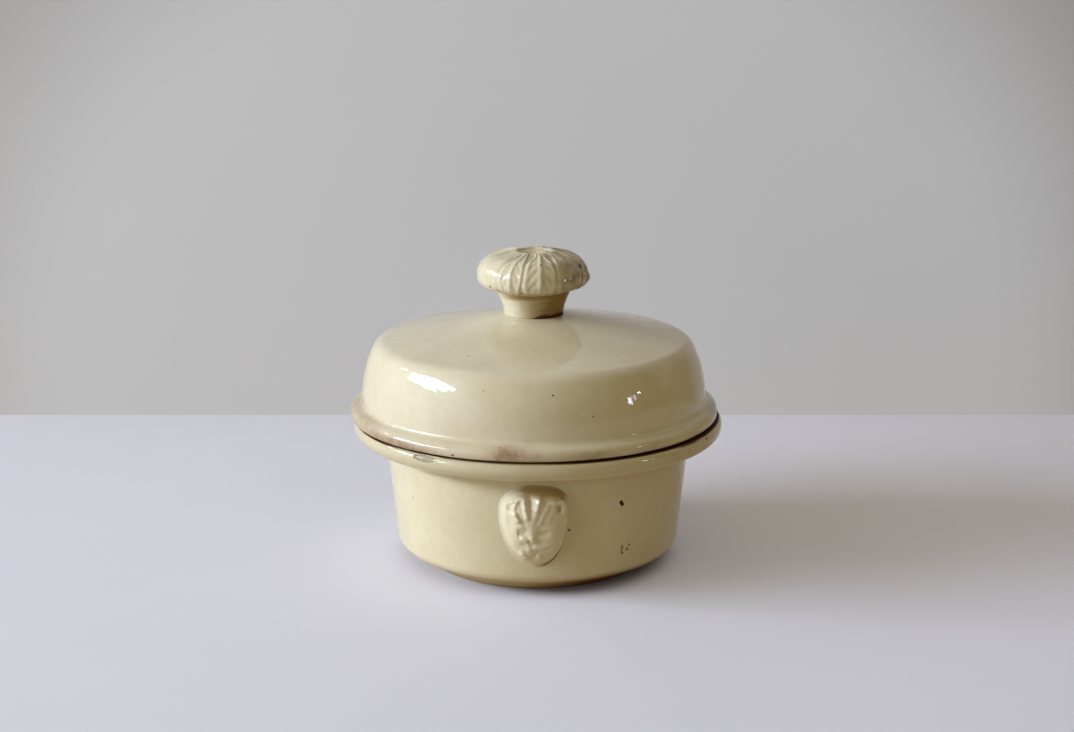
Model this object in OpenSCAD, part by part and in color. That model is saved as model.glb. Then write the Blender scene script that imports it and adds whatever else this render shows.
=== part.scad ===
// Small round oven pot with its lid, in cream glazed earthenware.
// Millimetres, +Z up. The origin is the centre of the flat foot, where the pot stands.
// The lion mask at the front faces -Y.

/* [Pot] */
// Height of the rim's seat above the table
pot_h = 64.8; // [52:0.1:90]
// Diameter of the flat foot
foot_d = 99; // [84:0.5:106]
// Diameter at the bottom of the wall
base_d = 125.3; // [120:0.1:133]
// Diameter at the top of the wall, just under the rim
neck_d = 133.6; // [128:0.1:142]
// Slope of the turned underside between the foot and the wall, in degrees
bevel_slope = 33; // [15:1:45]
// Rounding where the wall turns under
corner_r = 4.3; // [2:0.1:7]
// Thickness of the wall
pot_wall = 5; // [3.5:0.1:6.5]
// Thickness of the floor
floor_t = 6; // [4:0.1:9]
// Rounding inside, between the floor and the wall
inside_r = 9; // [5:0.5:14]

/* [Pot rim] */
// How far the rim stands out beyond the wall
rim_w = 14.3; // [12:0.1:20]
// Height of the rim's rolled edge
rim_h = 8.6; // [8.4:0.1:12]
// Rounding at the top of the rolled edge
rim_top_r = 3.6; // [2:0.1:3.8]
// Rounding at the bottom of the rolled edge
rim_under_r = 4.6; // [2:0.1:4.6]
// Rounding in the angle between the wall and the rim's underside
rim_cove_r = 3; // [1:0.1:5]
// Thickness of the rim's upright outer part, beside the gallery
rim_wall = 6.6; // [6:0.1:8]
// Depth of the gallery, the stepped ledge inside the rim
gallery_depth = 4.2; // [2.5:0.1:4.6]
// Rounding of the edges inside the rim
lip_r = 0.8; // [0.3:0.1:1]

/* [Lid] */
// How far the lid's flange stays inside the rim's outline
lid_inset = 0.45; // [0:0.05:2]
// Width of the flange outside the lid's wall
flange_w = 5.2; // [4.5:0.1:8]
// Height of the flange's rolled edge
flange_h = 5.8; // [5.6:0.1:9]
// Rounding at the bottom of the flange
flange_under_r = 2.2; // [1:0.1:2.5]
// Rounding at the top of the flange
flange_top_r = 3.4; // [2.5:0.1:3.8]
// Rounding in the angle between the flange and the lid's wall
flange_cove_r = 2.1; // [1.5:0.1:4]
// Radius of the lid's rounded wall, in section
belly_r = 53; // [45:0.5:65]
// How far that wall leans in by its top, in degrees
belly_lean = 25.5; // [20:0.5:30]
// Rounding of the shoulder between the wall and the crown
shoulder_r = 5.2; // [4.9:0.1:12]
// Slope of the crown beside the shoulder, in degrees
crown_slope_out = 11.7; // [8:0.1:20]
// Slope of the crown beside the knob, in degrees
crown_slope_in = 10.9; // [5:0.1:20]
// Thickness of the lid
lid_wall = 4.6; // [3.5:0.1:4.8]
// Thickness of the ring that drops into the gallery
ring_t = 4.6; // [3:0.1:6]
// Gap all round between that ring and the rim
ring_gap = 2.4; // [2:0.1:4]
// Gap between that ring and the ledge below it
ring_lift = 0.8; // [0.3:0.1:2]
// How far the lid lies off the pot's axis, towards -X, as it was put down
lid_shift = 1.75; // [0:0.05:1.9]

/* [Knob] */
// Diameter of the stem where it stands on the lid
stem_foot_d = 26.2; // [20:0.1:32]
// Diameter of the stem under the cap
stem_top_d = 33; // [28:0.1:36]
// Height of the stem
stem_h = 10.4; // [6:0.1:16]
// Diameter of the cap over its leaves
cap_d = 48.8; // [44:0.1:60]
// Height of the cap from its underside to the lip of the dimple
cap_h = 17.3; // [15:0.1:22]
// Rounding of the cap's lower edge
cap_edge_r = 3.6; // [2:0.1:4.5]
// Rounding of the cap's shoulder
cap_shoulder_r = 9.2; // [6:0.1:10]
// Rise of the cap's underside from the stem to its edge
cap_tuck = 0.9; // [0:0.1:2]
// Rise of the cap's crown from its shoulder to the lip of the dimple
cap_crown = 2.1; // [0.8:0.1:3]
// Diameter of the dimple on top
dimple_d = 14.6; // [8:0.1:18]
// Depth of the dimple
dimple_depth = 3; // [1:0.1:5]
// Number of leaves round the cap
leaves = 10; // [6:1:12]
// Depth of the grooves between the leaves
leaf_groove = 1.1; // [0:0.1:1.6]
// Height of the rib along the middle of each leaf
leaf_rib = 0.7; // [0:0.1:1.5]
// Turn of the leaves about the knob's axis, in degrees
leaf_turn = 8; // [-18:1:18]

/* [Lion masks] */
// Width of a mask
mask_w = 29; // [22:0.1:36]
// Height of a mask
mask_h = 36; // [28:0.1:38]
// Height of a mask's middle above the table
mask_z = 33.9; // [31:0.1:36]
// How far the widest line of a mask is above its middle
mask_wide = 6; // [2:0.1:9]
// How far a mask's rim stands off the wall before the face begins
mask_base = 2.6; // [1:0.1:4]
// Height of the face over that
mask_face = 3.4; // [1:0.1:5]
// How deep a mask is pressed into the wall where it was stuck on
mask_lute = 0.4; // [0.2:0.1:1]
// Turn of the front mask about the pot's axis, in degrees
front_turn = -1.4; // [-10:0.1:10]
// Turn of the back mask from straight behind, in degrees
back_turn = 0; // [-10:0.1:10]

/* [Hidden] */
$fn = 120;

cream = "#D8CFA9";
cream_light = "#DDD5B2";
cream_knob = "#D3CBA6";

// Steps in each rounding of a turned profile, and in the long curves
arc_steps = 10;
curve_steps = 16;
// How far round the flange's top turns before the cove, and the cove before the wall
flange_turn = 72;
cove_turn = 70;
// Where the lid's wall leaves the cove, and where its shoulder leaves the wall, in degrees
belly_start = 1;
shoulder_start = belly_lean + 5;
// Height of the splay inside the lid, from the ring out to the wall
splay_h = 6;
// How strongly the stem flares towards the cap: 1 is a plain cone
flare_power = 1.7;

foot_r = foot_d / 2;
base_r = base_d / 2;
neck_r = neck_d / 2;
rim_r = neck_r + rim_w;
rim_z = pot_h - rim_h;

// The turned corner: its circle touches both the wall and the sloping underside
corner_c_r = base_r - corner_r;
corner_low = bevel_slope - 90;
corner_z = tan(bevel_slope) * (corner_c_r + corner_r * cos(corner_low) - foot_r)
    - corner_r * sin(corner_low);
wall_lean = atan2(neck_r - base_r, rim_z - rim_cove_r - corner_z);

gallery_r = rim_r - rim_wall;
gallery_z = pot_h - gallery_depth;
mouth_r = neck_r - pot_wall;

flange_r = rim_r - lid_inset;
lid_r = flange_r - flange_w;
ring_r = gallery_r - ring_gap;
ring_drop = gallery_depth - ring_lift;

// Centre of the lid's rounded wall, and of its shoulder, above the seat
belly_c = [lid_r - belly_r, flange_h + flange_cove_r];
belly_end = belly_c + belly_r * [cos(belly_lean), sin(belly_lean)];
shoulder_c = belly_end - shoulder_r * [cos(belly_lean), sin(belly_lean)];
crown_edge = shoulder_c + shoulder_r * [sin(crown_slope_out), cos(crown_slope_out)];
stem_foot_r = stem_foot_d / 2;
stem_top_r = stem_top_d / 2;
lid_top = pot_h + crown_height(stem_foot_r);
cap_z = lid_top + stem_h;
cap_r = cap_d / 2;
dimple_r = dimple_d / 2;

// Points along an arc about centre [r, z], from one angle to another
function arc(centre, radius, from, to, steps = arc_steps) =
    [for (i = [0:steps]) let (a = from + (to - from) * i / steps)
        centre + radius * [cos(a), sin(a)]];

// Height of the crown above the seat, where its slope eases from one value to the other
function crown_height(r) =
    let (run = crown_edge[0] - r, span = crown_edge[0] - stem_foot_r,
         out = tan(crown_slope_out), inner = tan(crown_slope_in))
    crown_edge[1] + out * run + (inner - out) * run * run / (2 * span);

// Outer radius of the wall at a height above the table
function wall_at(z) = base_r + (z - corner_z) * tan(wall_lean);

function smooth_step(a, b, x) =
    let (t = min(max((x - a) / (b - a), 0), 1)) t * t * (3 - 2 * t);

// The pot is one thrown or jollied piece: foot, turned underside, wall and galleried rim
function pot_outline() = concat(
    [[0, 0], [foot_r, 0]],
    arc([corner_c_r, corner_z], corner_r, corner_low, -wall_lean),
    [[neck_r, rim_z - rim_cove_r]],
    arc([neck_r + rim_cove_r, rim_z - rim_cove_r], rim_cove_r, 180 - wall_lean, 90),
    arc([rim_r - rim_under_r, rim_z + rim_under_r], rim_under_r, -90, 0),
    arc([rim_r - rim_top_r, pot_h - rim_top_r], rim_top_r, 0, 90),
    arc([gallery_r + lip_r, pot_h - lip_r], lip_r, 90, 180),
    [[gallery_r, gallery_z]],
    arc([mouth_r + lip_r, gallery_z - lip_r], lip_r, 90, 180 - wall_lean),
    arc([inner_wall_at(floor_t + inside_r) - inside_r, floor_t + inside_r], inside_r,
        -wall_lean, -90, curve_steps),
    [[0, floor_t]]);

function inner_wall_at(z) = mouth_r - (gallery_z - lip_r - z) * tan(wall_lean);

module pot_body() {
    color(cream) rotate_extrude() polygon(pot_outline());
}

// The lid is one thrown piece: flange, rounded wall, shoulder, crown and locating ring
function lid_outline() =
    let (crown = [for (i = [1:curve_steps])
             let (r = crown_edge[0] + (stem_foot_r - crown_edge[0]) * i / curve_steps)
             [r, crown_height(r)]],
         inner_belly = belly_r - lid_wall, inner_shoulder = shoulder_r - lid_wall)
    concat(
    [[ring_r - ring_t, -ring_drop + lip_r]],
    arc([ring_r - ring_t + lip_r, -ring_drop + lip_r], lip_r, 180, 270),
    arc([ring_r - lip_r, -ring_drop + lip_r], lip_r, -90, 0),
    [[ring_r, 0]],
    arc([flange_r - flange_under_r, flange_under_r], flange_under_r, -90, 0),
    arc([flange_r - flange_top_r, flange_h - flange_top_r], flange_top_r, 0, flange_turn),
    arc([lid_r + flange_cove_r, flange_h + flange_cove_r], flange_cove_r, 180 + cove_turn, 180),
    arc(belly_c, belly_r, belly_start, belly_lean, curve_steps),
    arc(shoulder_c, shoulder_r, shoulder_start, 90 - crown_slope_out),
    crown,
    [[0, crown_height(stem_foot_r)], [0, crown_height(stem_foot_r) - lid_wall]],
    [for (i = [curve_steps - 1:-1:0]) crown[i] - [0, lid_wall]],
    arc(shoulder_c, inner_shoulder, 90 - crown_slope_out, shoulder_start, 4),
    arc(belly_c, inner_belly, belly_lean, belly_start, curve_steps),
    [[ring_r - ring_t, belly_c[1] - splay_h]]);

module lid() {
    color(cream) translate([-lid_shift, 0, pot_h]) rotate_extrude() polygon(lid_outline());
}

// The stem flares like a trumpet between the crown's flat middle and the cap
module knob_stem() {
    flare = [for (i = [0:curve_steps]) let (t = i / curve_steps)
        [stem_foot_r + (stem_top_r - stem_foot_r) * pow(t, flare_power), stem_h * t]];
    color(cream_knob) translate([-lid_shift, 0, lid_top])
        rotate_extrude() polygon(concat([[0, 0]], flare, [[0, stem_h]]));
}

// The cap's turned shape without its leaves, from the stem outwards and up to the dimple
shoulder_turn = 72;
lip_round = 0.9;
cap_edge_c = [cap_r - cap_edge_r, cap_tuck + cap_edge_r];
cap_shoulder_c = [cap_r - cap_shoulder_r,
    cap_h - cap_crown - cap_shoulder_r * sin(shoulder_turn)];
cap_profile = concat(
    [[stem_top_r, 0]],
    arc(cap_edge_c, cap_edge_r, -90, 0, 6),
    arc(cap_shoulder_c, cap_shoulder_r, 0, shoulder_turn, 8),
    arc([dimple_r + lip_round, cap_h - lip_round], lip_round, 75, 165, 3),
    [for (t = [0.75, 0.5, 0.25]) [dimple_r * t, cap_h - dimple_depth * (1 - t * t)]]);
cap_rows = len(cap_profile);
// Points across each leaf, and rows over which its relief comes in and fades out
leaf_steps = 12;
cap_steps = leaves * leaf_steps;
fade_in = 3;
fade_out = 6;
// Widths of a leaf's middle rib and of the grooves beside it, as shares of its half width
rib_share = 0.16;
groove_share = 0.22;

// How strongly the leaves show at each row: none at the stem, all round the edge
function leaf_weight(i) = smooth_step(0, fade_in, i)
    * (1 - smooth_step(cap_rows - fade_out, cap_rows - 1, i));

// Relief of the leaves at an angle: a groove on both sides of a leaf, a rib along it
function leaf_relief(angle) =
    let (part = angle * leaves / 360, across = 2 * abs(part - round(part)))
    leaf_rib * exp(-pow(across / rib_share, 2))
        - leaf_groove * exp(-pow((1 - across) / groove_share, 2));

// Outward direction of the turned shape at a row
function cap_normal(i) =
    let (a = cap_profile[max(i - 1, 0)], b = cap_profile[min(i + 1, cap_rows - 1)], d = b - a)
    [d[1], -d[0]] / norm(d);

function cap_point(i, j) =
    let (angle = j * 360 / cap_steps, turn = angle + leaf_turn - 90,
         p = cap_profile[i] + cap_normal(i) * leaf_relief(angle) * leaf_weight(i))
    [p[0] * cos(turn), p[0] * sin(turn), p[1]];

// Triangles between rows of points that close round, with a point below and one above
function band(rows, steps) = [for (i = [0:rows - 2], j = [0:steps - 1])
    let (a = i * steps + j, b = i * steps + (j + 1) % steps)
    each [[a, a + steps, b], [b, a + steps, b + steps]]];
function end_fan(first, steps, tip, up) = [for (j = [0:steps - 1])
    let (a = first + j, b = first + (j + 1) % steps) up ? [a, tip, b] : [a, b, tip]];

module knob_cap() {
    points = concat(
        [for (i = [0:cap_rows - 1], j = [0:cap_steps - 1]) cap_point(i, j)],
        [[0, 0, 0], [0, 0, cap_h - dimple_depth]]);
    low = cap_rows * cap_steps;
    faces = concat(band(cap_rows, cap_steps), end_fan(0, cap_steps, low, false),
        end_fan((cap_rows - 1) * cap_steps, cap_steps, low + 1, true));
    color(cream_knob) translate([-lid_shift, 0, cap_z]) polyhedron(points, faces);
}

// A lion mask is a sprig: clay pressed in a mould and stuck on the wall with slip.
// Places on it are shares of its half width and half height: [across, up].
mask_steps = 60;
mask_rings = [0.1, 0.2, 0.3, 0.4, 0.5, 0.6, 0.7, 0.79, 0.87, 0.93, 0.975, 1];
back_rings = [0.75, 0.4];
brow_square = 3;
chin_square = 2;
// How sharply the face falls to its rim, and the share of the radius that stays plain there
rim_power = 6;
rim_share = 0.15;
// Shares of the face's height that its bulge and its features take
bulge_share = 0.35;
feature_share = 0.65;

// Ridges of the face: from, to, half width, height
ridges = [
    // tufts of the mane, fanned from the brow
    [[0, 0.40], [0.02, 0.84], 0.11, 0.85], [[0.12, 0.34], [0.36, 0.80], 0.12, 0.75],
    [[-0.12, 0.34], [-0.36, 0.80], 0.12, 0.75], [[0.32, 0.30], [0.68, 0.70], 0.12, 0.6],
    [[-0.32, 0.30], [-0.68, 0.70], 0.12, 0.6],
    // rims of the ears
    [[0.58, 0.30], [0.84, 0.52], 0.10, 0.5], [[-0.58, 0.30], [-0.84, 0.52], 0.10, 0.5],
    // brow, nose and cheeks
    [[0.10, 0.08], [0.42, 0.16], 0.12, 0.6], [[-0.10, 0.08], [-0.42, 0.16], 0.12, 0.6],
    [[0, 0.22], [0, -0.34], 0.17, 1.0], [[-0.1, -0.36], [0.1, -0.36], 0.12, 0.7],
    [[0.52, 0.02], [0.52, -0.34], 0.20, 0.5], [[-0.52, 0.02], [-0.52, -0.34], 0.20, 0.5],
    // muzzle and chin
    [[0.20, -0.50], [0.30, -0.54], 0.19, 0.75], [[-0.20, -0.50], [-0.30, -0.54], 0.19, 0.75],
    [[-0.14, -0.80], [0.14, -0.80], 0.16, 0.55]];

// Hollows of the face: middle, half width, depth
hollows = [[[0.27, -0.10], 0.13, 0.35], [[-0.27, -0.10], 0.13, 0.35],
    [[0.70, 0.40], 0.09, 0.45], [[-0.70, 0.40], 0.09, 0.45], [[0, -0.66], 0.12, 0.5]];

function segment_distance(p, a, b) =
    let (d = b - a, t = min(max((p - a) * d / (d * d), 0), 1)) norm(p - a - t * d);

function ridge_sum(p, i = 0) = i == len(ridges) ? 0
    : max(ridges[i][3] * exp(-pow(segment_distance(p, ridges[i][0], ridges[i][1])
        / ridges[i][2], 2)), ridge_sum(p, i + 1));

function hollow_sum(p, i = 0) = i == len(hollows) ? 0
    : hollows[i][2] * exp(-pow(norm(p - hollows[i][0]) / hollows[i][1], 2))
        + hollow_sum(p, i + 1);

// A mask's outline at an angle about its widest line: squarer above, pointed below
function mask_outline(a) =
    let (c = cos(a), s = sin(a), n = s > 0 ? brow_square : chin_square,
         h = mask_h / 2 - (s > 0 ? mask_wide : -mask_wide))
    [sign(c) * mask_w / 2 * pow(abs(c), 2 / n),
     sign(s) * h * pow(abs(s), 2 / n)];

// Relief over the wall, where ring is 0 at the widest line's middle and 1 at the rim
function mask_height(p, ring) =
    let (share = [p[0] / (mask_w / 2), (p[1] + mask_wide) / (mask_h / 2)],
         edge = sqrt(1 - pow(ring, rim_power)),
         features = feature_share * (ridge_sum(share) - hollow_sum(share)),
         bulge = bulge_share * (1 - ring * ring),
         inside = 1 - smooth_step(1 - rim_share, 1, ring))
    (mask_base + mask_face * (bulge + features) * inside) * edge - mask_lute;

// A point of a mask wrapped round the wall, facing -Y
function on_wall(p, lift) =
    let (z = mask_z + mask_wide + p[1], r = wall_at(z), a = p[0] / r * 180 / PI - 90)
    [(r + lift) * cos(a), (r + lift) * sin(a), z];

function mask_ring(ring) = [for (j = [0:mask_steps - 1])
    let (p = mask_outline(j * 360 / mask_steps) * ring) on_wall(p, mask_height(p, ring))];

function back_ring(ring) = [for (j = [0:mask_steps - 1])
    on_wall(mask_outline(j * 360 / mask_steps) * ring, -mask_lute)];

module lion_mask() {
    rows = len(mask_rings) + len(back_rings);
    points = concat([for (ring = mask_rings) each mask_ring(ring)],
        [for (ring = back_rings) each back_ring(ring)],
        [on_wall([0, 0], mask_height([0, 0], 0)), on_wall([0, 0], -mask_lute)]);
    low = rows * mask_steps;
    faces = concat(band(rows, mask_steps), end_fan(0, mask_steps, low, false),
        end_fan((rows - 1) * mask_steps, mask_steps, low + 1, true));
    polyhedron(points, faces);
}

module front_mask() {
    color(cream_light) rotate([0, 0, front_turn]) lion_mask();
}

module back_mask() {
    color(cream_light) rotate([0, 0, 180 + back_turn]) lion_mask();
}

pot_body();
front_mask();
back_mask();
lid();
knob_stem();
knob_cap();
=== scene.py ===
# %% [markdown]
# # A cream glazed oven pot with a lion mask
# The pot is red or buff earthenware, thrown on a wheel and dipped in a clear lead glaze
# that fires to a warm cream. A flanged lid lies loose on its rim, with a leaf-moulded
# knob stuck on top, and a lion mask is stuck on the wall at the front and the back.
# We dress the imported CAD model: each clay piece is modelled again with a finer surface
# in the same place, and gets the glaze, the stains and the small damage of the real one.

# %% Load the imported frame
import math

import bmesh
import bpy
from mathutils import Matrix, Vector, noise


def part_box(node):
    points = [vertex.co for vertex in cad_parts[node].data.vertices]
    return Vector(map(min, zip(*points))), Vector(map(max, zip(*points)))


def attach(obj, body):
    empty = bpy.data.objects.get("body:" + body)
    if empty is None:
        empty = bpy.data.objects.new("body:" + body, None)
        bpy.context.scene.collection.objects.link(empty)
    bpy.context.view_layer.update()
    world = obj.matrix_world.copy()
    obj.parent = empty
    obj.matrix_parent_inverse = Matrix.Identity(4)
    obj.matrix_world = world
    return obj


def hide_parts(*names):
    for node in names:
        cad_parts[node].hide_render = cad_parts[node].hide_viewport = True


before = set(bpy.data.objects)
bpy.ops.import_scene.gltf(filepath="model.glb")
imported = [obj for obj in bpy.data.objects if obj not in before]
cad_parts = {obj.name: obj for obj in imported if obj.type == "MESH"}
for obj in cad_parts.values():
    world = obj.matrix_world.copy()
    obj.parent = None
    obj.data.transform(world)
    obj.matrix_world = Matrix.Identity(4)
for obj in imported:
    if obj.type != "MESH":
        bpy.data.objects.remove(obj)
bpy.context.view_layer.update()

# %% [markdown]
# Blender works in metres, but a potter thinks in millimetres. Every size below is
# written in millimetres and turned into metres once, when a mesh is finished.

MM = 0.001
pot_low, pot_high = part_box("pot_body")
lid_low, lid_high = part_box("lid")
pot_h = pot_high.z / MM
rim_r = pot_high.x / MM
lid_x = (lid_low.x + lid_high.x) / 2 / MM
print(f"pot {pot_h:.1f} mm high, rim radius {rim_r:.2f} mm, lid axis at x {lid_x:.2f} mm")

# %% [markdown]
# ## The camera
# The photograph was taken from about 76 cm away, looking down by 14 degrees, with a lens
# of about 60 mm on a full frame camera. The camera comes first, because everything else
# is judged through it.

# %% Camera
CAMERA_PLACE = (-0.00029, -0.760, 0.2728)
CAMERA_PITCH = 13.88
camera = bpy.data.objects.new("camera", bpy.data.cameras.new("camera"))
camera.location = CAMERA_PLACE
camera.rotation_euler = (math.radians(90 - CAMERA_PITCH), 0, 0)
camera.data.lens = 59.8
camera.data.sensor_width = 36
camera.data.sensor_fit = "HORIZONTAL"
camera.data.clip_start = 0.01
bpy.context.scene.collection.objects.link(camera)
bpy.context.scene.camera = camera
print(f"camera {-CAMERA_PLACE[1]:.2f} m in front, {CAMERA_PITCH} degrees down")

# %% [markdown]
# ## Profiles
# A thrown pot is a shape turned about an axis, so it is drawn as half a section: points
# of (radius, height). Round stretches are arcs, and long straight ones are divided, so
# that the surface has points enough to be dented and painted later.


# %% Profile helpers
def arc(centre, radius, start, end, steps=8):
    """Points on an arc about centre, from one angle to another in degrees."""
    angles = [math.radians(start + (end - start) * i / steps) for i in range(steps + 1)]
    return [(centre[0] + radius * math.cos(a), centre[1] + radius * math.sin(a)) for a in angles]


def divided(points, step):
    """The same line with no stretch longer than step."""
    line = [points[0]]
    for start, end in zip(points, points[1:]):
        pieces = max(1, math.ceil(math.dist(start, end) / step))
        for i in range(1, pieces + 1):
            line.append(tuple(s + (e - s) * i / pieces for s, e in zip(start, end)))
    return line


def ease(low, high, value):
    """0 below low, 1 above high, and a smooth step between them."""
    t = min(max((value - low) / (high - low), 0), 1)
    return t * t * (3 - 2 * t)


def ridge(distance, width):
    """A rounded ridge: 1 at its middle, and nearly 0 at twice its half width."""
    return math.exp(-(distance / width) ** 2)


# %% [markdown]
# Spinning the section about Z makes the piece. `use_merge` joins the last step of the
# spin to the first, and merging doubles closes the poles on the axis. Spin can leave the
# shape inside out, so its normals are recalculated before anything else is done to it.


# %% Turning a profile
def turned(profile, steps):
    """A closed bmesh of the profile turned about Z, in millimetres."""
    bm = bmesh.new()
    verts = [bm.verts.new((r, 0, z)) for r, z in profile]
    edges = [bm.edges.new(pair) for pair in zip(verts, verts[1:])]
    bmesh.ops.spin(bm, geom=verts + edges, cent=(0, 0, 0), axis=(0, 0, 1), dvec=(0, 0, 0),
                   angle=math.tau, steps=steps, use_merge=True)
    bmesh.ops.remove_doubles(bm, verts=bm.verts, dist=1e-4)
    bmesh.ops.recalc_face_normals(bm, faces=bm.faces)
    return bm


def azimuth(point):
    """Degrees round the axis, 0 at the front (-Y) and 90 at the right (+X)."""
    return math.degrees(math.atan2(point.x, -point.y))


def at(degrees, radius, height):
    """The point at that azimuth, radius and height."""
    a = math.radians(degrees)
    return Vector((radius * math.sin(a), -radius * math.cos(a), height))


# %% [markdown]
# A hand-made piece is never quite round. A slow noise draws the wall in by a few tenths
# of a millimetre here and there, which bends the reflections the way real ones bend.
# It only draws in, so the piece stays inside the size that the CAD gives it.


# %% Hand-thrown unevenness
def draw_in(v, shift):
    """Moves a point straight towards the axis."""
    radius = math.hypot(v.co.x, v.co.y)
    v.co.x -= v.co.x / radius * shift
    v.co.y -= v.co.y / radius * shift


def uneven(bm, depth, seed, size=38):
    """Draws the surface in towards the axis by up to depth, in slow waves of that size."""
    for v in bm.verts:
        wave = noise.noise(v.co / size + Vector((seed, 0, 0)))
        ring = noise.noise(Vector((seed, 0, v.co.z / 5)))
        if math.hypot(v.co.x, v.co.y) > 1:
            draw_in(v, depth * (0.5 + 0.5 * wave) + 0.15 * depth * (0.5 + 0.5 * ring))


def refine(bm, place, radius, cuts):
    """Divides the faces near a place, so that small damage has points to be made of."""
    near = [f for f in bm.faces if (f.calc_center_median() - place).length < radius]
    edges = list({e for f in near for e in f.edges})
    bmesh.ops.subdivide_edges(bm, edges=edges, cuts=cuts, use_grid_fill=True)


# %% [markdown]
# Paint is kept on the mesh as one number per point, in named layers that the glaze
# material reads: `pool_and_shade` where the glaze ran thick and amber, and where shade is
# painted in; `stain_and_shade` where fat and heat have browned it, and where shade is painted
# at the foot and the knob; `bare` where the clay shows; `matt` where the glaze was wiped off
# or has worn dull; and `pit_and_shadow` in burst bubbles and cracks, and for painted shade and
# shadow in the seam, under the flange, at the foot, at the stem and along the mask's edge.

# %% Paint layers and finishing a piece
LAYERS = ("pool_and_shade", "stain_and_shade", "bare", "matt", "pit_and_shadow")


def paint(bm, layer, weight):
    """Sets a layer at every point to the largest of what is there and weight(point)."""
    values = bm.verts.layers.float.get(layer) or bm.verts.layers.float.new(layer)
    for v in bm.verts:
        v[values] = max(v[values], weight(v.co))


def pinhole(bm, place, radius, depth, soft=1.3, dark=0.8, painted=(0.6, 1.1)):
    """A burst bubble: pushed in, and dark inside. The shares are of its radius."""
    for v in bm.verts:
        share = (v.co - place).length / radius
        if share < soft + 0.2:
            v.co -= v.normal * depth * (1 - ease(0.3, soft, share))
    paint(bm, "pit_and_shadow", lambda p: dark * (1 - ease(*painted, (p - place).length / radius)))


def finish_piece(bm, name, body, nodes, material):
    """Turns a bmesh in millimetres into a smooth object that rides on its body."""
    for layer in LAYERS:
        if not bm.verts.layers.float.get(layer):
            bm.verts.layers.float.new(layer)
    bmesh.ops.scale(bm, vec=(MM, MM, MM), verts=bm.verts)
    mesh = bpy.data.meshes.new(name)
    bm.to_mesh(mesh)
    bm.free()
    mesh.shade_smooth()
    mesh.materials.append(material)
    piece = bpy.data.objects.new(name, mesh)
    bpy.context.scene.collection.objects.link(piece)
    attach(piece, body)
    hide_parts(*nodes)
    print(f"{name}: {len(mesh.polygons)} faces")
    return piece


# %% [markdown]
# ## The glaze
# Cream ware has two surfaces, one over the other: a matt, slightly cloudy body colour,
# and a thin glass that mirrors the window sharply. Principled BSDF has both, the base
# and the coat, so the base's own shine is turned off. Colours are sRGB hex values, as
# read off a swatch. One function turns them linear, because shaders calculate with light.


# %% Colour and node helpers
def hex_colour(code):
    """An sRGB hex value as a linear RGBA colour."""
    channels = [int(code[i:i + 2], 16) / 255 for i in (1, 3, 5)]
    linear = [c / 12.92 if c <= 0.04045 else ((c + 0.055) / 1.055) ** 2.4 for c in channels]
    return (*linear, 1.0)


def add(tree, kind, inputs=None, **settings):
    """Adds a node. Inputs are values or other nodes' outputs, by socket name or number."""
    node = tree.nodes.new(kind)
    for name, value in settings.items():
        setattr(node, name, value)
    for name, value in (inputs or {}).items():
        if isinstance(value, bpy.types.NodeSocket):
            tree.links.new(value, node.inputs[name])
        else:
            node.inputs[name].default_value = value
    return node


# %% [markdown]
# The pattern sizes are real ones: clouds of tone about 25 mm across from uneven dipping,
# a fine mottle of 3 mm, ripples 9 mm apart where the glaze ran and set, an orange peel of
# 1.6 mm in its skin, and iron specks under half a millimetre wide, a centimetre apart.
# The coat has the IOR of glass and is nearly a mirror, so the window shows sharp in it.

# %% Glazed earthenware
CLOUD = 25
MOTTLE = 3
RIPPLE = 9
PEEL = 1.6
PEEL_DEEP = 0.04
SPECK_GAP = 11


def noise_field(tree, coords, size, detail, seed):
    """Noise with features of that size in millimetres."""
    moved = add(tree, "ShaderNodeVectorMath", {0: coords, 1: (seed, seed, seed)}, operation="ADD")
    return add(tree, "ShaderNodeTexNoise", {"Vector": moved.outputs[0], "Scale": 1 / (size * MM),
                                            "Detail": detail, "Roughness": 0.55}).outputs[0]


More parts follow.
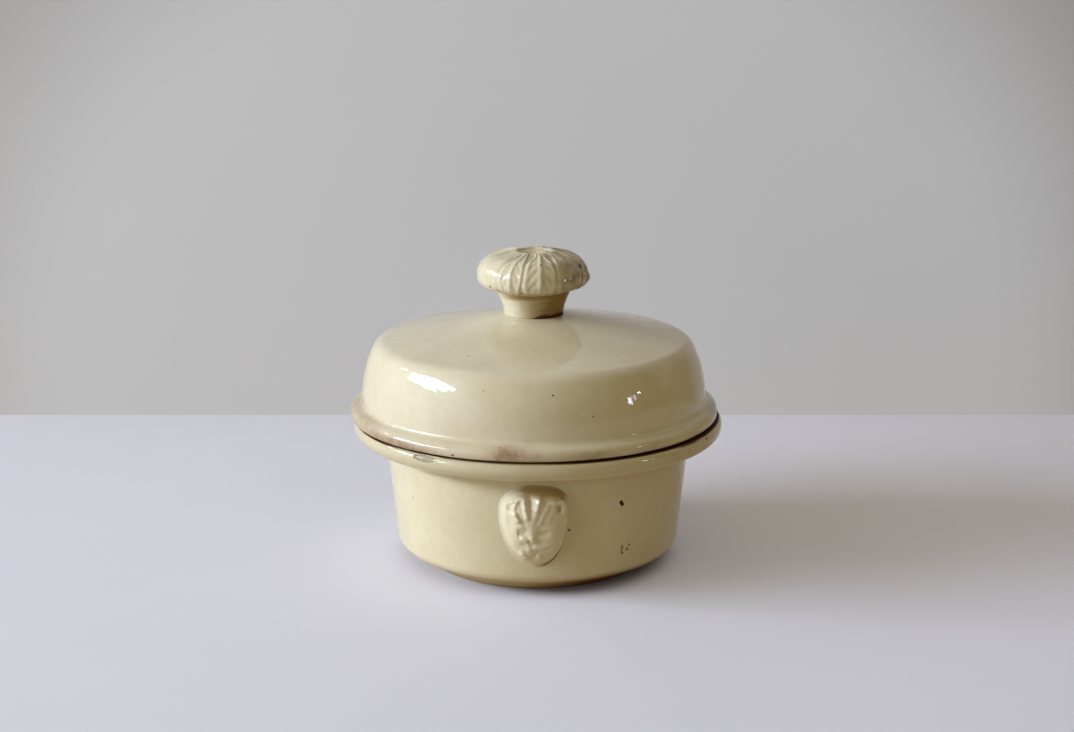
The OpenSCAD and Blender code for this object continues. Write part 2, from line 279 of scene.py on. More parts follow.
def glaze(name, light, deep, amber_and_shade, stain_and_shade, clay, seed, ripple_size=RIPPLE, waves_deep=0.25):
    """A glossy lead glaze over earthenware, with pooling, stains, bare clay, pits and painted shade."""
    material = bpy.data.materials.new(name)
    material.use_nodes = True
    tree = material.node_tree
    tree.nodes.clear()
    coords = add(tree, "ShaderNodeTexCoord").outputs["Object"]
    layers = {n: add(tree, "ShaderNodeAttribute", attribute_name=n).outputs["Fac"] for n in LAYERS}
    cloud = noise_field(tree, coords, CLOUD, 3, seed)
    mottle = noise_field(tree, coords, MOTTLE, 4, seed + 1)

    tone = add(tree, "ShaderNodeMapRange", {0: cloud, 1: 0.3, 2: 0.7})
    body = add(tree, "ShaderNodeMix", {0: tone.outputs[0], 6: hex_colour(light), 7: hex_colour(deep)},
               data_type="RGBA")
    fleck = add(tree, "ShaderNodeMapRange", {0: mottle, 1: 0.3, 2: 0.75, 3: 0.0, 4: 0.10})
    broken = add(tree, "ShaderNodeMapRange", {0: mottle, 1: 0.35, 2: 0.65, 3: 0.75, 4: 1.1})
    stained = add(tree, "ShaderNodeMath", {0: layers["stain_and_shade"], 1: broken.outputs[0]},
                  operation="MULTIPLY", use_clamp=True)
    cells = add(tree, "ShaderNodeTexVoronoi", {"Vector": coords, "Scale": 1 / (SPECK_GAP * MM)})
    speck = add(tree, "ShaderNodeMapRange",
                {0: cells.outputs["Distance"], 1: 0.010, 2: 0.022, 3: 0.7, 4: 0.0})
    # a pit, and the painted shade and shadow in the same layer, is brown at its edge and nearly black in its
    # depth
    edge = add(tree, "ShaderNodeMapRange", {0: layers["pit_and_shadow"], 1: 0.0, 2: 0.45, 3: 0.0, 4: 0.85})
    depth = add(tree, "ShaderNodeMapRange", {0: layers["pit_and_shadow"], 1: 0.3, 2: 0.9})
    # each colour lies over the ones before it, by its own share
    over = [(fleck.outputs[0], stain_and_shade), (stained.outputs[0], stain_and_shade), (layers["pool_and_shade"], amber_and_shade),
            (speck.outputs[0], "#5A4526"), (layers["bare"], clay),
            (edge.outputs[0], "#7A4E1E"), (depth.outputs[0], "#34180E")]
    for share, colour in over:
        body = add(tree, "ShaderNodeMix", {0: share, 6: body.outputs[2], 7: hex_colour(colour)},
                   data_type="RGBA")

    ripple = noise_field(tree, coords, ripple_size, 1, seed + 2)
    skin = noise_field(tree, coords, PEEL, 1, seed + 3)
    waves = add(tree, "ShaderNodeBump", {"Height": ripple, "Strength": 0.35, "Distance": waves_deep * MM})
    peel = add(tree, "ShaderNodeBump", {"Height": skin, "Strength": 0.2, "Distance": PEEL_DEEP * MM,
                                        "Normal": waves.outputs[0]})

    worn = add(tree, "ShaderNodeMath", {0: layers["matt"], 1: layers["pit_and_shadow"]}, operation="MAXIMUM")
    glass = add(tree, "ShaderNodeMapRange", {0: worn.outputs[0], 3: 1.0, 4: 0.0})
    rough = add(tree, "ShaderNodeMapRange", {0: worn.outputs[0], 3: 0.38, 4: 0.85})
    shader = add(tree, "ShaderNodeBsdfPrincipled", {
        "Base Color": body.outputs[2], "Roughness": rough.outputs[0], "Normal": peel.outputs[0],
        "IOR": 1.5, "Specular IOR Level": 0.0, "Coat Weight": glass.outputs[0],
        "Coat Roughness": 0.025, "Coat IOR": 1.5,
        "Coat Normal": peel.outputs[0]})
    add(tree, "ShaderNodeOutputMaterial", {"Surface": shader.outputs[0]})
    return material


pot_glaze = glaze("cream_lead_glaze_pot", "#E4DEBE", "#DCD3B0", "#80601C", "#A5804A", "#A1987C", 3)
lid_glaze = glaze("cream_lead_glaze_lid", "#E3DDC1", "#DAD1B3", "#80601C", "#A4866A", "#BBAA9C", 7)
mask_glaze = glaze("cream_lead_glaze_mask", "#E6E1C4", "#DDD6B6", "#A07A16", "#A98663", "#BBAA9C", 11,
                   ripple_size=3.2, waves_deep=0.4)
knob_glaze = glaze("cream_lead_glaze_knob", "#E5DEC2", "#DBD2B2", "#96762E", "#77602C", "#BBAA9C", 17)
print("glazes:", ", ".join(g.name for g in (pot_glaze, lid_glaze, mask_glaze, knob_glaze)))

# %% [markdown]
# ## The pot
# Foot, turned underside, wall and rolled rim are one piece of clay. Outside, the wall
# turns under in a small round and slopes in to the foot. The rim is thick, with a step
# inside, the gallery, that the lid's ring drops into.

# %% Pot sizes
FOOT_R = 49.5
BASE_R = 62.65
NECK_R = 66.8
BEVEL_SLOPE = 33
CORNER_R = 5.4
RIM_H = 8.6
RIM_TOP_R = 3.6
RIM_UNDER_R = 4.6
COVE_R = 3
GALLERY_R = rim_r - 6.6
GALLERY_Z = pot_h - 4.2
MOUTH_R = NECK_R - 5
FLOOR_Z = 6
INSIDE_R = 9
LIP_R = 0.8

rim_z = pot_h - RIM_H
corner_c = BASE_R - CORNER_R
corner_low = BEVEL_SLOPE - 90
corner_z = (math.tan(math.radians(BEVEL_SLOPE))
            * (corner_c + CORNER_R * math.cos(math.radians(corner_low)) - FOOT_R)
            - CORNER_R * math.sin(math.radians(corner_low)))
wall_lean = math.degrees(math.atan2(NECK_R - BASE_R, rim_z - COVE_R - corner_z))


def wall_at(z):
    """Outer radius of the wall at a height."""
    return BASE_R + (z - corner_z) * math.tan(math.radians(wall_lean))


def rim_at(z):
    """Outer radius of the upper round of the rim at a height."""
    return rim_r - RIM_TOP_R + math.sqrt(RIM_TOP_R ** 2 - (z - pot_h + RIM_TOP_R) ** 2)


print(f"the wall leans out by {wall_lean:.1f} degrees above the corner at {corner_z:.1f} mm")

# %% [markdown]
# The outside gets points every 1.6 mm and the inside every 3 mm, because the inside is
# only seen with the lid off.

# %% Pot profile
SOFT = 1.0
inner_foot = MOUTH_R - (GALLERY_Z - LIP_R - FLOOR_Z - INSIDE_R) * math.tan(math.radians(wall_lean))
outside = [(0, 0)] + arc((FOOT_R - SOFT, SOFT), SOFT, -90, corner_low, 4)
outside += arc((corner_c, corner_z), CORNER_R, corner_low, -wall_lean)
outside += arc((NECK_R + COVE_R, rim_z - COVE_R), COVE_R, 180 - wall_lean, 90)
outside += arc((rim_r - RIM_UNDER_R, rim_z + RIM_UNDER_R), RIM_UNDER_R, -90, 0)
outside += arc((rim_r - RIM_TOP_R, pot_h - RIM_TOP_R), RIM_TOP_R, 0, 90)
inside = arc((GALLERY_R + LIP_R, pot_h - LIP_R), LIP_R, 90, 180, 4) + [(GALLERY_R, GALLERY_Z)]
inside += arc((MOUTH_R + LIP_R, GALLERY_Z - LIP_R), LIP_R, 90, 180 - wall_lean, 4)
inside += arc((inner_foot - INSIDE_R, FLOOR_Z + INSIDE_R), INSIDE_R, -wall_lean, -90)
inside += [(0, FLOOR_Z)]
POT_STEPS = 288
pot = turned(divided(outside, 1.6) + divided(inside, 3), POT_STEPS)
uneven(pot, 0.3, 2)
print(f"pot section of {len(outside) + len(inside)} points before dividing")

# %% [markdown]
# The rim is chipped at the front left, a flat oval of grey clay about 11 mm long. Burst
# bubbles have left pinholes, one of them 1.5 mm wide at the right of the mask. The mesh
# is divided where the damage is and pushed in, so the chip catches the light by itself.

# %% Chip and pinholes
CHIP = at(-35.0, 80.6, 62.7)
CHIP_LONG = 5.7
CHIP_TALL = 1.45
CHIP_DEPTH = 0.5
CHIP_REACH = 7.5


def chip_share(point):
    """0 in the middle of the chip and 1 at its edge, measured along and across the rim."""
    offset = point - CHIP
    along = at(azimuth(CHIP) + 90, 1, 0)
    side = offset.dot(along)
    across = (offset - along * side).length
    ragged = 1 + 0.14 * noise.noise(point / 1.6)
    return math.hypot(side / CHIP_LONG, across / CHIP_TALL) / ragged


def bare_clay(p):
    """1 in the chip and 0 outside it."""
    return 1 - ease(0.85, 1, chip_share(p)) if (p - CHIP).length < CHIP_REACH else 0


refine(pot, CHIP, CHIP_REACH, 4)
for v in pot.verts:
    if (v.co - CHIP).length < CHIP_REACH:
        v.co -= v.normal * CHIP_DEPTH * (1 - ease(0.75, 1, chip_share(v.co)))
paint(pot, "bare", lambda p: 0.9 * bare_clay(p))
paint(pot, "matt", lambda p: 0.7 * bare_clay(p))
paint(pot, "pit_and_shadow", lambda p: 0.3 * ridge(chip_share(p) - 1, 0.1) if (p - CHIP).length < CHIP_REACH else 0)

# Azimuth, height, radius and depth of each pinhole
PINHOLES = [(32.1, 40.4, 0.9, 0.5), (32.7, 39.4, 0.85, 0.45), (11.6, 31, 0.5, 0.3),
            (-54.5, 36.7, 0.3, 0.2), (37.2, 20.2, 0.45, 0.3), (62.0, 62.9, 0.55, 0.3),
            (141, 30, 0.5, 0.3), (-128, 24, 0.35, 0.25), (166, 44, 0.3, 0.2)]
for degrees, height, radius, depth in PINHOLES:
    place = at(degrees, wall_at(height) - 0.2 if height < rim_z else rim_at(height) - 0.2, height)
    refine(pot, place, 1.6 + radius, 4)
    pinhole(pot, place, radius, depth, dark=0.9, painted=(0.7, 1.15))
print(f"{len(PINHOLES)} pinholes")

# %% Scratch low on the wall
# Each stroke runs from (azimuth, height) to (azimuth, height), in degrees and mm, with a half width
NICKS = [((33.7, 20.8), (34.0, 17.2), 0.16),
         ((36.6, 19.0), (35.4, 17.6), 0.2),
         ((33.9, 17.6), (34.5, 17.0), 0.25)]
NICK_DEPTH = 0.15


def nick_share(p):
    """Distance from the nearest stroke of the nick, as a share of the stroke's half width."""
    here = Vector((math.radians(azimuth(p)) * BASE_R, p.z))
    best = 9
    for start, end, half_width in NICKS:
        a = Vector((math.radians(start[0]) * BASE_R, start[1]))
        b = Vector((math.radians(end[0]) * BASE_R, end[1]))
        t = min(max((here - a).dot(b - a) / (b - a).length_squared, 0), 1)
        best = min(best, (here - a.lerp(b, t)).length / half_width)
    return best


NICK = at(34.6, wall_at(18.8), 18.8)
refine(pot, NICK, 3.4, 5)
for v in pot.verts:
    if (v.co - NICK).length < 4:
        v.co -= v.normal * NICK_DEPTH * (1 - ease(0.4, 1.6, nick_share(v.co)))
paint(pot, "pit_and_shadow", lambda p: 0.75 * (1 - ease(0.6, 1.7, nick_share(p))) if (p - NICK).length < 4 else 0)
print(f"{len(NICKS)} strokes in the nick")

# %% [markdown]
# The turned underside was wiped of glaze before firing, and shows tan clay that has taken
# up fat, most of all from the front to the right, where painted shadow darkens it further.
# The glaze is thicker in the angle under the rim and over each mask; the angle under the rim
# also gets painted shade, and the rim a thin amber tone that is painted shade. A nearly black
# ring lies on top of the rim, where the lid's flange ends: at its outer edge it is painted
# shade of the seam, and further in it is burnt fat. It is this painted ring, more than
# rendered shade, that draws the dark line between the pot and the lid.

# %% Pot paint
WIPED_Z = 8.6
SEAT_LINE_R = rim_r - 2.03
SEAT_LINE_WIDE = 4.3
MASK_TURNS = (-1.4, 180)


def wiped(p):
    """How bare the underside is: its edge wanders up and down with the wipe of a cloth."""
    if math.hypot(p.x, p.y) < MOUTH_R - 12 and p.z > 2:
        return 0
    edge = WIPED_Z + 1.2 * noise.noise(Vector((p.x / 18, p.y / 18, 0)))
    return 1 - ease(edge - 4.4, edge + 1.4, p.z)


def thick_glaze_and_shade(p):
    """Thicker glaze under the rim and over a mask, painted shade in the angle under the rim and on the rim,
    and fat in the foot with painted shadow towards the right.
    """
    radius = math.hypot(p.x, p.y)
    depth = math.hypot(radius - NECK_R - 1, p.z - rim_z + 2)
    # painted shade in the angle under the rim, over the thicker glaze there
    corner = 0.16 * (1 - ease(0, 6, depth))
    # a thin amber tone on the rim that is painted shade
    on_rim = 0.19 * ease(rim_z + 0.5, rim_z + 3, p.z)
    over_mask = 0.0
    if radius > wall_at(p.z) - 1 and GALLERY_Z > p.z > 20:
        side = min(abs((azimuth(p) - turn + 180) % 360 - 180) for turn in MASK_TURNS)
        over_mask = 0.2 * ridge(math.hypot(side / 11, max(0, abs(p.z - 50.5) - 1) / 3.5), 1)
    # fat in the wiped foot, with painted shadow of the foot that grows towards the right
    foot_fat_and_shadow = 0.08 + 0.8 * ease(0, 45, azimuth(p)) * (1 - ease(110, 170, azimuth(p)))
    return max(corner, on_rim, over_mask, foot_fat_and_shadow * wiped(p))


def foot_stain_and_shadow(p):
    """The wiped clay is browned at the left end, and from the middle on to the right it is browned and
    darkened as painted shadow.
    """
    left = 0.22 * (1 - ease(-64, -48, azimuth(p)))
    return (0.08 + left + 0.52 * ease(-28, 20, azimuth(p))) * wiped(p)


def seat_shade_and_fat(p):
    """The nearly black ring: painted shade of the seam where it follows the flange outside, and burnt fat
    further in, ragged inside.
    """
    radius = math.hypot(p.x, p.y)
    here = azimuth(p)
    outer = SEAT_LINE_R + 0.45 * abs(math.sin(math.radians(here)))
    outer += 0.45 * (1 - ease(-58, -32, here)) + 0.3 * ease(40, 50, here) - 0.15 * ease(54, 60, here)
    inner = SEAT_LINE_R - SEAT_LINE_WIDE + 1.2 * noise.noise(Vector((p.x / 9, p.y / 9, 0)))
    ring = ease(inner, inner + 1.2, radius) * (1 - ease(outer, outer + 0.35, radius))
    return 0.9 * ring if p.z > GALLERY_Z + 1 else 0


def foot_painted_shadow(p):
    """Painted shadow at the right of the foot, a darker brown than the fat."""
    return 0.4 * ease(-12, 30, azimuth(p)) * (1 - ease(110, 170, azimuth(p))) * wiped(p)


paint(pot, "stain_and_shade", foot_stain_and_shadow)
paint(pot, "pit_and_shadow", seat_shade_and_fat)
paint(pot, "pit_and_shadow", foot_painted_shadow)
paint(pot, "matt", lambda p: 0.85 * wiped(p))
paint(pot, "pool_and_shade", thick_glaze_and_shade)
finish_piece(pot, "glazed_pot", "pot", ["pot_body"], pot_glaze)

# %% [markdown]
# ## The lid
# The lid is thrown upside down, like a bowl, and turned when it is leather hard. From
# the seat upwards: a rolled flange, a hollow round, the full wall, a tight shoulder and
# a crown that slopes up to the knob. Its ring hangs inside the pot's gallery.

# %% Lid sizes and profile
FLANGE_R = lid_high.x / MM - lid_x
FLANGE_H = 5.8
FLANGE_UNDER_R = 1.3
FLANGE_TOP_R = 3.4
FLANGE_TURN = 72
LID_COVE_R = 2.1
LID_R = FLANGE_R - 5.2
BELLY_R = 50
BELLY_LEAN = 25.5
SHOULDER_R = 7.5
CROWN_OUT = 12.0
CROWN_IN = 10.9
LID_WALL = 4.6
RING_R = GALLERY_R - 2.4
RING_DROP = 3.4
STEM_FOOT_R = 13.1

belly_c = (LID_R - BELLY_R, FLANGE_H + LID_COVE_R)
lean = Vector((math.cos(math.radians(BELLY_LEAN)), math.sin(math.radians(BELLY_LEAN))))
shoulder_c = Vector(belly_c) + (BELLY_R - SHOULDER_R) * lean
edge_turn = math.radians(90 - CROWN_OUT)
crown_edge = shoulder_c + SHOULDER_R * Vector((math.cos(edge_turn), math.sin(edge_turn)))


def crown_height(r):
    """Height of the crown above the seat: its slope eases off towards the knob."""
    run = crown_edge.x - r
    span = crown_edge.x - STEM_FOOT_R
    out, inner = math.tan(math.radians(CROWN_OUT)), math.tan(math.radians(CROWN_IN))
    return crown_edge.y + out * run + (inner - out) * run * run / (2 * span)


lid_top = crown_height(STEM_FOOT_R)
crown = [(r, crown_height(r)) for r in (crown_edge.x - 2, 55, 45, 35, 25, 18, STEM_FOOT_R)]
ring = arc((RING_R - LID_WALL + LIP_R, -RING_DROP + LIP_R), LIP_R, 180, 270, 4)
ring += arc((RING_R - LIP_R, -RING_DROP + LIP_R), LIP_R, -90, 0, 4) + [(RING_R, 0)]
skin = arc((FLANGE_R - FLANGE_UNDER_R, FLANGE_UNDER_R), FLANGE_UNDER_R, -90, 0)
skin += arc((FLANGE_R - FLANGE_TOP_R, FLANGE_H - FLANGE_TOP_R), FLANGE_TOP_R, 0, FLANGE_TURN)
skin += arc((LID_R + LID_COVE_R, FLANGE_H + LID_COVE_R), LID_COVE_R, 250, 180)
skin += arc(belly_c, BELLY_R, 1, BELLY_LEAN, 16)
skin += arc(shoulder_c, SHOULDER_R, BELLY_LEAN + 5, 90 - CROWN_OUT)
skin += crown + [(0, lid_top)]
hollow = [(0, lid_top - LID_WALL)] + [(r, z - LID_WALL) for r, z in reversed(crown)][:-1]
hollow += arc(belly_c, BELLY_R - LID_WALL, BELLY_LEAN, 1, 10)
hollow += [(RING_R - LID_WALL, belly_c[1] - 6), (RING_R - LID_WALL, -RING_DROP + LIP_R)]
LID_STEPS = 288
lid = turned(divided(ring, 2) + divided(skin, 1.6) + divided(hollow, 3.5), LID_STEPS)
uneven(lid, 0.28, 9)
print(f"the crown meets the knob {lid_top:.1f} mm above the seat")

# %% [markdown]
# The flange warped a little in the kiln: only its inner part touches the rim, and the
# open wedge outside it is in shade, and the flange is painted nearly black above it as painted
# shade. The wedge is a quarter of a millimetre high, and a trace more towards the right.

# %% Warped flange
SEAT_R = FLANGE_R - 4.6
WEDGE = 0.23
WEDGE_SWING = 0.03
WEDGE_WIDEST = 50
for v in lid.verts:
    radius = math.hypot(v.co.x, v.co.y)
    opening = WEDGE + WEDGE_SWING * math.cos(math.radians(azimuth(v.co) - WEDGE_WIDEST))
    v.co.z += opening * ease(SEAT_R, SEAT_R + 1.8, radius) * (1 - ease(0.8, 4.5, v.co.z))
print(f"wedge of {WEDGE - WEDGE_SWING:.2f} to {WEDGE + WEDGE_SWING:.2f} mm under the flange")

# %% [markdown]
# Fat has crept in under the glaze along the flange and browned it in patches, most of
# all at the left end. The flange also gets the thin amber tone of the rim, which is painted shade.

# %% Lid pinholes and stains
# Azimuth, half width in degrees, height above the seat and strength of each stain
STAINS = [(-84, 17, 7.5, 0.55), (-63, 9, 4.5, 0.45), (-53, 6, 2.2, 0.6), (-43, 6, 2.0, 0.95),
          (-34, 5, 0.8, 0.6), (-7.5, 5, 4.2, 1.0), (1, 3, 2.5, 0.35), (17, 7, 1.8, 0.6),
          (38, 6, 0.8, 0.35), (57, 5, 1.0, 0.35), (81, 7, 5.0, 0.65), (120, 12, 2.0, 0.5),
          (158, 7, 1.5, 0.45), (-150, 9, 2.0, 0.5), (-112, 10, 3.0, 0.4)]
# Azimuth, distance from the axis, height, radius and depth of each pinhole
LID_HOLES = [(5.8, 72.4, 25.5, 0.42, 0.2), (-30.2, 53.5, 36.5, 0.4, 0.15),
             (37.5, 56.4, 35.7, 0.35, 0.15), (18.2, 74.6, 17.3, 0.35, 0.15),
             (-16.5, 72.0, 26.8, 0.3, 0.15), (-23.8, 79.9, 1.8, 0.5, 0.2),
             (-9.5, 78.0, 5.6, 0.4, 0.15), (95, 60, 35, 0.35, 0.2), (150, 71, 27, 0.4, 0.2)]


def fat_stain(p):
    """Brown creeping in along the flange, strongest at its lower edge."""
    if math.hypot(p.x, p.y) < LID_R - 4 or p.z > 12:
        return 0
    here = azimuth(p) + 2.5 * noise.noise(p / 6)
    total = 0.10 * (1 - ease(1, 4, p.z))
    for degrees, half_width, height, strength in STAINS:
        apart = (here - degrees + 180) % 360 - 180
        total += strength * math.exp(-(apart / half_width) ** 2) * (1 - ease(height, height + 3.5, p.z))
    return min(total, 0.9)


def lid_pool_and_shade(p):
    """Honey-coloured glaze round the stem's foot, and painted shade in the angle there at the right, in the
    wedge and on the flange.
    """
    radius = math.hypot(p.x, p.y)
    if p.z < lid_top - 3:
        if radius < SEAT_R - 1:
            return 0
        # painted shade in the wedge under the flange, and a thin amber tone on the flange that is painted
        # shade
        return max(0.8 * (1 - ease(0.2, 0.9, p.z)), 0.09 * (1 - ease(5, 8, p.z)))
    # painted shade in the angle at the stem's foot on the right, and honey glaze round the foot
    side = ease(-25, 20, azimuth(p)) * (1 - ease(80, 130, azimuth(p)))
    crevice = 0.8 * side * (1 - ease(STEM_FOOT_R + 0.1, STEM_FOOT_R + 0.9, radius))
    return max(crevice, 0.14 * (1 - ease(STEM_FOOT_R + 1, STEM_FOOT_R + 7, radius)))


def wedge_painted_shade(p):
    """Painted shade: the flange is painted nearly black underneath, nearly out to its edge."""
    radius = math.hypot(p.x, p.y)
    if radius < SEAT_R - 1 or p.z > 1:
        return 0
    return 0.95 * (1 - ease(FLANGE_R - 1.5, FLANGE_R - 0.7, radius))


paint(lid, "stain_and_shade", fat_stain)
paint(lid, "pool_and_shade", lid_pool_and_shade)
paint(lid, "pit_and_shadow", wedge_painted_shade)
for degrees, r, z, radius, depth in LID_HOLES:
    place = at(degrees, r, z)
    nearest = min(lid.verts, key=lambda v: (v.co - place).length_squared)
    place = nearest.co.copy()
    refine(lid, place, 1.8 + radius, 4)
    pinhole(lid, place, radius, depth)
bmesh.ops.translate(lid, vec=(lid_x, 0, pot_h), verts=lid.verts)
finish_piece(lid, "glazed_lid", "lid", ["lid"], lid_glaze)

# %% [markdown]
# ## The knob
# The stem was thrown on the crown and flares towards the cap. The cap is a pressed
# mushroom with ten overlapping leaves that run from the dimple on top down over the
# edge. Each leaf has an outline, a midrib and slanting side veins, blurred by the glaze.

# %% Stem
STEM_TOP_R = 16.5
STEM_H = 10.4
FLARE_POWER = 1.7
THROWN_RINGS = 2.1
RING_DEPTH = 0.05
flare = [(STEM_FOOT_R + (STEM_TOP_R - STEM_FOOT_R) * (i / 24) ** FLARE_POWER, STEM_H * i / 24)
         for i in range(25)]
stem = turned([(0, 0)] + flare + [(0, STEM_H)], 192)
uneven(stem, 0.15, 5, 15)
for v in stem.verts:
    if math.hypot(v.co.x, v.co.y) > STEM_FOOT_R - 1:
        wave = math.sin(v.co.z * math.tau / THROWN_RINGS + 1.3 * math.sin(v.co.z))
        draw_in(v, RING_DEPTH * (1 - wave))


def stem_amber_and_shade(p):
    """Amber glaze, with painted shade under the cap and painted shade growing towards the right."""
    side = ease(-65, 55, azimuth(p)) * (1 - ease(120, 170, azimuth(p)))
    streak = 0.22 * noise.noise(Vector((azimuth(p) / 40, 0, p.z * 1.4)))
    # painted shade under the cap
    under_cap = 0.9 * ease(STEM_H - 3.6, STEM_H - 1.2, p.z) * ease(-75, -25, azimuth(p))
    return min(max(0.08, under_cap, (1.15 + streak) * side), 1)


def stem_foot_shadow(p):
    """Painted shadow: the joint at the foot is painted nearly black at the front right."""
    side = ease(-15, 25, azimuth(p)) * (1 - ease(70, 90, azimuth(p)))
    shadow_height = (p.z + 0.5 * noise.noise(p / 3)) / (1.0 + 1.8 * side)
    return 0.8 * ease(0, 0.5, side) * (1 - ease(0.3, 0.8, shadow_height))


paint(stem, "pool_and_shade", stem_amber_and_shade)
paint(stem, "pit_and_shadow", stem_foot_shadow)
bmesh.ops.translate(stem, vec=(lid_x, 0, pot_h + lid_top), verts=stem.verts)
finish_piece(stem, "thrown_stem", "lid", ["knob_stem"], knob_glaze)

# %% Cap profile
CAP_R = 23.9
CAP_SHIFT = -0.45
CAP_H = 17.3
CAP_EDGE_R = 4.4
CAP_SHOULDER_R = 9.2
CAP_TUCK = 1.7
CAP_CROWN = 2.1
SHOULDER_TURN = 72
DIMPLE_R = 7.0
DIMPLE_DEPTH = 3
DIMPLE_SHIFT = 0.9
LIP_ROUND = 1.5
shoulder_z = CAP_H - CAP_CROWN - CAP_SHOULDER_R * math.sin(math.radians(SHOULDER_TURN))
cap_line = [(0, 0), (STEM_TOP_R, 0)]
cap_line += arc((CAP_R - CAP_EDGE_R, CAP_TUCK + CAP_EDGE_R), CAP_EDGE_R, -90, 0, 10)
cap_line += arc((CAP_R - CAP_SHOULDER_R, shoulder_z), CAP_SHOULDER_R, 0, SHOULDER_TURN, 16)
cap_line += arc((DIMPLE_R + LIP_ROUND, CAP_H - LIP_ROUND), LIP_ROUND, 75, 165, 5)
cap_line += [(DIMPLE_R * t, CAP_H - DIMPLE_DEPTH * (1 - t * t)) for t in (0.8, 0.6, 0.4, 0.2, 0)]
cap = turned(divided(cap_line, 0.45), 400)
cap.normal_update()
print(f"cap with {len(cap.faces)} faces before its leaves")

# %% [markdown]
# A leaf is described over the cap by two numbers: how far round a point is from the
# leaf's middle, and how far down it is from the dimple. The relief is worked out from
# these, so one rule makes all ten leaves. They were never evenly spaced.

# %% Leaf relief
# Azimuth, relative width and relief of each leaf
LEAVES = [(8, 1.05, 1.15), (43, 0.95, 0.9), (78, 1.0, 0.9), (114, 1.0, 1.0), (150, 1.0, 1.0),
          (186, 1.0, 0.9), (223, 1.05, 1.0), (262, 1.05, 0.8), (301, 1.12, 0.45), (335, 0.75, 1.1)]
# The tops of the leaves lean sideways by this many degrees
LEAF_SWIRL = 7
# Half width of a leaf in degrees, from the dimple (0) down to its tip (1)
LEAF_WIDTHS = [(0, 9), (0.25, 14.5), (0.5, 17), (0.75, 17.3), (0.9, 15), (1.0, 12)]


def between(table, x):
    """Straight-line value from a table of (x, y)."""
    for (x0, y0), (x1, y1) in zip(table, table[1:]):
        if x <= x1:
            return y0 + (y1 - y0) * min(max((x - x0) / (x1 - x0), 0), 1)
    return table[-1][1]


def way_down(point):
    """0 at the lip of the dimple, 1 under the cap's edge, following the surface roughly."""
    rise = point.z - (CAP_TUCK + CAP_EDGE_R + 1)
    turn = math.degrees(math.atan2(rise, math.hypot(point.x, point.y) - 10))
    return min(max((78 - turn) / 110, 0), 1)


def leaf_relief(point):
    """Height of the leaves over the plain cap, in millimetres."""
    down = way_down(point)
    turn = azimuth(point) - LEAF_SWIRL * (1 - down) ** 2
    near = [((turn - centre + 180) % 360 - 180, wide, deep, centre) for centre, wide, deep in LEAVES]
    apart, wide, deep, centre = min(near, key=lambda n: abs(n[0]) / n[1])
    leaf = Vector((centre / 36, 3.3, 1.7))
    jitter = 1.5 * noise.noise(leaf) + 1.8 * noise.noise(point / 6)
    strength = deep * (0.85 + 0.5 * noise.noise(point / 7 + leaf))
    across = (apart - jitter) / (wide * between(LEAF_WIDTHS, down))
    radius = math.hypot(point.x, point.y)
    fade = ease(DIMPLE_R - 0.6, DIMPLE_R + 4.6, radius)
    if point.z < CAP_TUCK + 1.5:
        fade *= ease(STEM_TOP_R, STEM_TOP_R + 5, radius)
    outline = 0.3 * ridge(abs(across) - 0.84, 0.16)
    valley = -0.36 * ease(0.92, 1.2, abs(across))
    midrib = 0.42 * ridge(across, 0.12) * (1 - 0.5 * ease(0.75, 1, down))
    blade = 0.3 * (1 - across * across) if abs(across) < 1 else 0
    veins = 0
    if abs(across) < 0.86:
        phase = (down * 5.5 - abs(across) * 1.7 + 0.15 * noise.noise(point / 3)) % 1
        within = ease(0.08, 0.3, abs(across)) * (1 - ease(0.6, 0.86, abs(across)))
        veins = -0.24 * ridge(phase - 0.5, 0.2) * within
    return fade * strength * (outline + valley + midrib + blade + veins)


for v in cap.verts:
    v.co.x += DIMPLE_SHIFT * (1 - ease(DIMPLE_R + 1, DIMPLE_R + 8, math.hypot(v.co.x, v.co.y)))
    if math.hypot(v.co.x, v.co.y) > DIMPLE_R * 0.7 and v.co.z > 0.05:
        v.co += v.normal * leaf_relief(v.co)
# A drop of glaze hangs at the right edge
LUMP = at(84, 24.1, 6.0)
LUMP_HIGH = 1.1
for v in cap.verts:
    apart = (v.co - LUMP).length
    if apart < 6:
        v.co += v.normal * LUMP_HIGH * ridge(apart, 2.0)
for _ in range(3):
    bmesh.ops.smooth_vert(cap, verts=cap.verts, factor=0.5,
                          use_axis_x=True, use_axis_y=True, use_axis_z=True)
relief = [leaf_relief(v.co) for v in cap.verts]
print(f"leaf relief from {min(relief):.2f} to {max(relief):.2f} mm")

# %% Cap paint
# Azimuth, height, radius and depth of each pinhole
KNOB_HOLES = [(67, 12.2, 1.1, 0.5), (11.5, 14.6, 0.4, 0.2), (-50.5, 4.2, 0.5, 0.2)]


def groove_glaze_and_shade(p):
    """Thicker, darker glaze with painted shade in the grooves, and painted shade under the cap."""
    deep = 0.5 * ease(0.02, 0.5, -leaf_relief(p))
    under = 0.4 * (1 - ease(1.0, 3.5, p.z))
    return min(deep + under, 0.75)


def hand_dirt_and_shade(p):
    """Grey-brown dirt from hands in mottled patches, with painted shade that puts most of it at the right.
    """
    cloud = noise.noise(p / 4) + 0.6 * noise.noise(p / 1.6)
    side = ease(10, 55, azimuth(p)) * (1 - ease(110, 150, azimuth(p)))
    return (0.1 + 0.65 * side) * (0.6 + 0.4 * ease(-0.5, 0.5, cloud)) * ease(0.5, 3, p.z)


